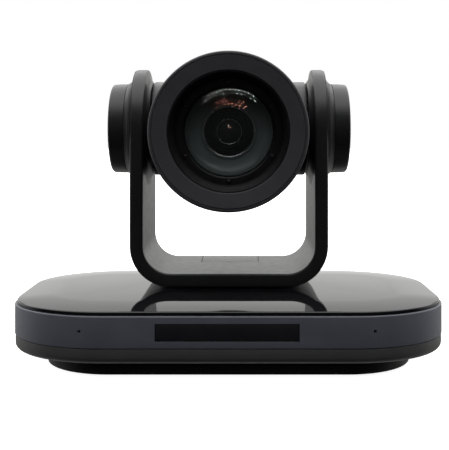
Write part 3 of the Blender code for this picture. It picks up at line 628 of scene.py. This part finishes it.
def make_head():
    lens_axis = (0.0, LENS_Z)
    tilt_axis = (PAN_Y, TILT_Z)
    front = BEZEL_HIGH[1] + 0.3
    rear = 58.0
    barrel = [(BARREL_BORE, front), (BARREL_RADIUS, front), (BARREL_RADIUS, rear - 0.3),
              (BARREL_RADIUS - 0.3, rear), (BARREL_BORE, rear)]
    shell = turned("head_barrel", barrel, "Y", lens_axis, SATIN, 160)
    drum = [(27.4, -45.2), (6.3, -45.2), (6.3, -47.5), (28.9, -47.5), (29.4, -47.35), (29.7, -46.9),
            (29.7, 46.9), (29.4, 47.35), (28.9, 47.5), (6.3, 47.5), (6.3, 45.2), (27.4, 45.2)]
    drum_body = turned("tool_drum", drum, "X", tilt_axis, SATIN, 128)
    carve(shell, [drum_body], "UNION")
    hollow = rod("tool_barrel_bore", BARREL_BORE, "Y", lens_axis, -40.0, 80.0, SATIN, 128)
    carve(shell, [hollow])
    show(shell, "head", "satin_black", "head_shell")

    rear += 0.3
    cover = [(0.0, 64.2), (36.5, 64.0), (40.5, 62.6), (42.3, 60.6), (BARREL_BORE, rear),
             (BARREL_RADIUS - 0.3, rear), (BARREL_RADIUS, rear + 0.3)]
    cover += quarter(38.2, rear + 1.2, 6.8, 0, 82, 10)
    cover += [(30.0, 66.42), (0.0, 66.5)]
    rear_cover = turned("head_rear_cover_skin", cover, "Y", lens_axis, SATIN, 128)
    tools = []
    for slot in range(5):
        z = LENS_Z - 16.0 + 8.0 * slot
        low, high = (-18.0, 60.0, z - 0.9), (18.0, 70.0, z + 0.9)
        tools.append(block(f"tool_vent_{slot}", low, high, SATIN, 0.8, 3))
    show(carve(rear_cover, tools), "head", "satin_black", "head_rear_cover")

    f = BEZEL_LOW[1]
    bezel = [(46.5, f + 7.0), (46.5, f + 1.5)]
    bezel += quarter(45.4, f + 1.1, 1.1, 0, -90, 5)
    bezel += [(44.8, f), (44.65, f + 0.5), (44.25, f + 0.5), (44.1, f), (43.8, f), (36.0, f + 1.4)]
    bezel += quarter(35.9, f + 1.8, 0.4, -90, -180, 4)
    bezel += [(35.5, f + 7.0)]
    show(turned("front_bezel_ring", bezel, "Y", lens_axis, BEZEL, 192), "head", "bezel_grey", "front_bezel")


def lens_screw(name, x, z, face):
    """Small cross-recess screw."""
    profile = [(0.0, face + 4.0), (0.7, face + 4.0), (0.7, face + 1.0), (1.15, face + 0.9),
               (1.15, face + 0.25)]
    profile += quarter(0.8, face + 0.05, 0.35, 0, -90, 3)
    profile += [(0.0, face - 0.34)]
    screw = turned(name, profile, "Y", (x, z), SCREW, 32)
    arm, width = 0.62, 0.17
    front, back = face - 1.0, face + 0.2
    across = block(f"tool_{name}_a", (x - arm, front, z - width), (x + arm, back, z + width), STEEL)
    upright = block(f"tool_{name}_b", (x - width, front, z - arm), (x + width, back, z + arm), STEEL)
    return carve(screw, [across, upright])


def make_lens():
    lens_axis = (0.0, LENS_Z)
    face = SCREW_RING_FACE
    ring = [(35.2, -27.4), (34.7, -27.4), (34.5, -27.2)]
    for step in range(5):
        radius, depth = 34.4 - 0.42 * step, -26.9 + 1.7 * step
        ring += [(radius, depth), (radius - 0.07, depth + 1.3), (radius - 0.35, depth + 1.45)]
    ring += [(32.1, -18.0), (31.75, -17.3), (31.5, face), (31.2, face), (31.1, face + 0.25),
             (30.9, face + 0.25), (30.8, face), (27.9, face), (27.8, face + 0.2), (27.6, face + 0.2),
             (27.5, face), (27.0, face + 0.4), (27.0, -11.0), (26.4, -11.0), (26.4, -9.0), (35.2, -9.0),
             (35.2, -19.6), (42.2, -19.6), (42.2, -21.6), (35.2, -21.6)]
    recess = turned("lens_recess", ring, "Y", lens_axis, RECESS, 160)
    tools = []
    for index in range(6):
        angle = math.radians(30.0 + 60.0 * index)
        x = SCREW_RING_RADIUS * math.cos(angle)
        z = LENS_Z + SCREW_RING_RADIUS * math.sin(angle)
        tools.append(rod(f"tool_seat_{index}", 1.4, "Y", (x, z), face - 1.0, face + 4.3, RECESS, 28))
        screw = lens_screw(f"lens_screw_head_{index + 1}", x, z, face)
        show(screw, "head", "black_screw", f"lens_screw_{index + 1}")
    show(carve(recess, tools), "head", "matte_black", "lens_recess_ring")

    glass_edge, dome = 26.7, 2.8
    front = [(0.0, -16.8)]
    for step in range(1, 13):
        radius = glass_edge * step / 12
        front.append((radius, -16.8 + dome * (radius / glass_edge) ** 2))
    front += [(glass_edge, -11.3)]
    for step in range(11, -1, -1):
        front.append((glass_edge * step / 12, -11.3 - 0.6 * (1.0 - (step / 12) ** 2)))
    show(turned("front_lens_glass", front, "Y", lens_axis, GLASS, 128), "head", "glass", "front_lens")

    tube = [(14.9, -4.6), (15.3, -5.0), (16.2, -5.0), (16.5, -4.7), (17.2, -4.4)]
    for step in range(1, 11):
        angle = math.radians(90.0 * step / 10)
        tube.append((17.2 + 8.7 * math.sin(angle), -4.4 - 6.2 * (1.0 - math.cos(angle))))
    tube += [(26.1, -10.6), (26.1, -8.7), (34.0, -8.7), (34.0, -7.0), (16.7, -3.0), (16.7, 26.0),
             (12.0, 26.0), (12.0, 24.6), (14.9, 24.6)]
    # The tube's bowl carries the painted sheen and painted shade.
    show(turned("lens_tube", tube, "Y", lens_axis, BOWL_PAINTED_SHEEN, 128, 20.0), "head", "matte_black", "lens_barrel")
    rim = quarter(15.2, -5.0, 0.34, 0, 330, 11)
    show(turned("lens_tube_rim", rim, "Y", lens_axis, RIM, 128), "head", "steel")

    cell = [(0.0, 7.0), (0.0, 2.6), (7.3, 2.6), (7.3, -0.2), (7.7, -0.9), (8.6, -1.2), (9.4, -1.2),
            (9.6, -1.6), (11.5, -1.6), (11.8, -2.2), (14.4, -2.2), (14.7, -1.9), (14.7, 7.0)]
    cell_piece = turned("zoom_cell", cell, "Y", lens_axis, RECESS, 96)
    show(cell_piece, "zoom_group", "matte_black", "zoom_group")
    lens = [(0.0, -1.6)]
    for step in range(1, 9):
        radius = 7.15 * step / 8
        lens.append((radius, -1.6 + 1.5 * (radius / 7.15) ** 2))
    lens += [(7.15, 2.4), (0.0, 2.4)]
    show(turned("zoom_cell_glass", lens, "Y", lens_axis, GLASS, 96), "zoom_group", "glass")
    rim = quarter(7.55, -1.05, 0.3, 0, 330, 11)
    show(turned("zoom_cell_rim", rim, "Y", lens_axis, RIM, 96), "zoom_group", "steel")


# Stage, light and camera


def area_light(name, place_m, aim_m, size, power, colour=(1.0, 1.0, 1.0)):
    light = bpy.data.lights.new(name, "AREA")
    light.shape = "RECTANGLE"
    light.size, light.size_y = size
    light.energy = power
    light.color = colour
    item = bpy.data.objects.new(name, light)
    bpy.context.scene.collection.objects.link(item)
    item.location = place_m
    item.rotation_euler = (Vector(aim_m) - Vector(place_m)).to_track_quat("-Z", "Y").to_euler()
    return item


def make_stage():
    bm = bmesh.new()
    bmesh.ops.create_grid(bm, x_segments=8, y_segments=8, size=6.0)
    mesh = bpy.data.meshes.new("floor")
    bm.to_mesh(mesh)
    bm.free()
    floor = bpy.data.objects.new("floor", mesh)
    bpy.context.scene.collection.objects.link(floor)
    recipe = Recipe("floor_paper")
    recipe.colours(recipe.spread(recipe.noise(2.0), 0.0, 1.0), (0.86, 0.86, 0.86), (0.88, 0.88, 0.88))
    recipe.set(Roughness=0.9, Specular_IOR_Level=0.1, Emission_Color=(1.0, 1.0, 1.0, 1.0),
               Emission_Strength=0.9)
    mesh.materials.append(recipe.material)
    floor.visible_glossy = False
    floor.visible_diffuse = False
    floor.visible_transmission = False


def make_world():
    """White studio: bright behind and above the object, dim on the camera's side and below."""
    world = bpy.data.worlds.new("studio")
    bpy.context.scene.world = world
    world.use_nodes = True
    nodes, links = world.node_tree.nodes, world.node_tree.links
    nodes.clear()
    output = nodes.new("ShaderNodeOutputWorld")
    background = nodes.new("ShaderNodeBackground")
    seen = nodes.new("ShaderNodeBackground")
    mix = nodes.new("ShaderNodeMixShader")
    path = nodes.new("ShaderNodeLightPath")
    direction = nodes.new("ShaderNodeTexCoord")
    split = nodes.new("ShaderNodeSeparateXYZ")
    links.new(direction.outputs["Generated"], split.inputs["Vector"])

    def ramp(source, start, end, low, high):
        node = nodes.new("ShaderNodeMapRange")
        node.interpolation_type = "SMOOTHSTEP"
        node.inputs["From Min"].default_value = start
        node.inputs["From Max"].default_value = end
        node.inputs["To Min"].default_value = low
        node.inputs["To Max"].default_value = high
        links.new(source, node.inputs["Value"])
        return node.outputs["Result"]

    def combine(operation, first, second):
        node = nodes.new("ShaderNodeMath")
        node.operation = operation
        links.new(first, node.inputs[0])
        links.new(second, node.inputs[1])
        return node.outputs["Value"]

    behind = ramp(split.outputs["Y"], -0.30, 0.35, 0.03, 1.10)
    above_floor = ramp(split.outputs["Z"], -0.12, 0.02, 0.42, 1.0)
    not_in_front = ramp(split.outputs["Y"], -0.85, -0.40, 0.0, 1.0)
    ceiling = combine("MULTIPLY", ramp(split.outputs["Z"], 0.45, 0.95, 0.0, 1.1), not_in_front)
    rolled_off = ramp(split.outputs["Z"], 0.15, 0.24, 1.0, 0.84)
    wall = combine("MULTIPLY", combine("MULTIPLY", behind, above_floor), rolled_off)
    links.new(combine("MAXIMUM", wall, ceiling), background.inputs["Strength"])
    links.new(path.outputs["Is Camera Ray"], mix.inputs["Fac"])
    links.new(background.outputs["Background"], mix.inputs[1])
    links.new(seen.outputs["Background"], mix.inputs[2])
    background.inputs["Color"].default_value = (0.99, 1.0, 0.975, 1.0)
    seen.inputs["Color"].default_value = (1.0, 1.0, 1.0, 1.0)
    links.new(mix.outputs["Shader"], output.inputs["Surface"])


def make_camera():
    """Eye level just above the lens axis, looking straight ahead with the view shifted down."""
    camera = bpy.data.cameras.new("camera")
    camera.sensor_width = 36.0
    camera.sensor_fit = "AUTO"
    camera.lens = 66.4
    camera.shift_x = -0.0396
    camera.shift_y = -0.2079
    camera.clip_start = 0.01
    item = bpy.data.objects.new("camera", camera)
    bpy.context.scene.collection.objects.link(item)
    item.location = (0.008, -0.504, 0.134)
    item.rotation_euler = (math.radians(90.0), 0.0, 0.0)
    bpy.context.scene.camera = item
    bpy.context.scene.view_settings.view_transform = "Standard"


def make_lights():
    sky = bpy.data.lights.new("overhead", "SUN")
    sky.energy = 2.6
    sky.angle = math.radians(110.0)
    item = bpy.data.objects.new("overhead", sky)
    bpy.context.scene.collection.objects.link(item)
    item.rotation_euler = (math.radians(-12.0), 0.0, 0.0)
    fills = [area_light("front_fill", (-0.2, -1.5, 0.9), (0.0, 0.0, 0.08), (1.4, 0.9), 7.0)]
    for side in (-1, 1):
        place = (side * 1.3, 0.05, 0.35)
        fills.append(area_light(f"side_fill_{side + 1}", place, (0.0, 0.0, 0.03), (0.8, 0.8), 4.0))
    for fill in fills:
        fill.visible_glossy = False
        fill.visible_transmission = False


def led_grid(name, glass_pieces, height, rows, columns, pitch, sag, radius, colour, strength):
    """Small lamps whose images show in the front glass."""
    bm = bmesh.new()
    for row in range(rows):
        shift = 0.5 * pitch if row % 2 else 0.0
        for column in range(columns):
            x = (column - (columns - 1) / 2) * pitch + shift
            spot = Vector((x, LAMP_PLANE_Y, height + row * 0.8 * pitch - sag * x * x))
            rim = []
            for corner in range(6):
                angle = math.radians(60.0 * corner)
                rim.append(bm.verts.new(spot + radius * Vector((math.cos(angle), 0.0, math.sin(angle)))))
            bm.faces.new(rim)
    mesh = bpy.data.meshes.new(name)
    bm.to_mesh(mesh)
    bm.free()
    lamp = bpy.data.objects.new(name, mesh)
    bpy.context.scene.collection.objects.link(lamp)
    material = bpy.data.materials.new(name)
    material.use_nodes = True
    shader = material.node_tree.nodes["Principled BSDF"]
    shader.inputs["Emission Color"].default_value = (*colour, 1.0)
    shader.inputs["Emission Strength"].default_value = strength
    mesh.materials.append(material)
    lamp.visible_camera = False
    lamp.visible_diffuse = False
    lamp.visible_shadow = False
    lamp.light_linking.receiver_collection = glass_pieces


def make_led_reflections():
    glass_pieces = bpy.data.collections.new("glass_pieces")
    for name in ("front_lens_glass", "zoom_cell_glass"):
        glass_pieces.objects.link(bpy.data.objects[name])
    white, red = (1.0, 0.98, 0.95), (1.0, 0.30, 0.22)
    led_grid("white_leds", glass_pieces, 0.412, 2, 12, 0.0330, 1.7, 0.0036, white, 55.0)
    led_grid("red_leds", glass_pieces, 0.330, 3, 8, 0.0270, 3.4, 0.0032, red, 34.0)


def main():
    finish_cad_nodes()
    make_base()
    make_yoke()
    make_head()
    make_lens()
    make_stage()
    make_world()
    make_lights()
    make_led_reflections()
    make_camera()
    bpy.context.view_layer.update()


main()
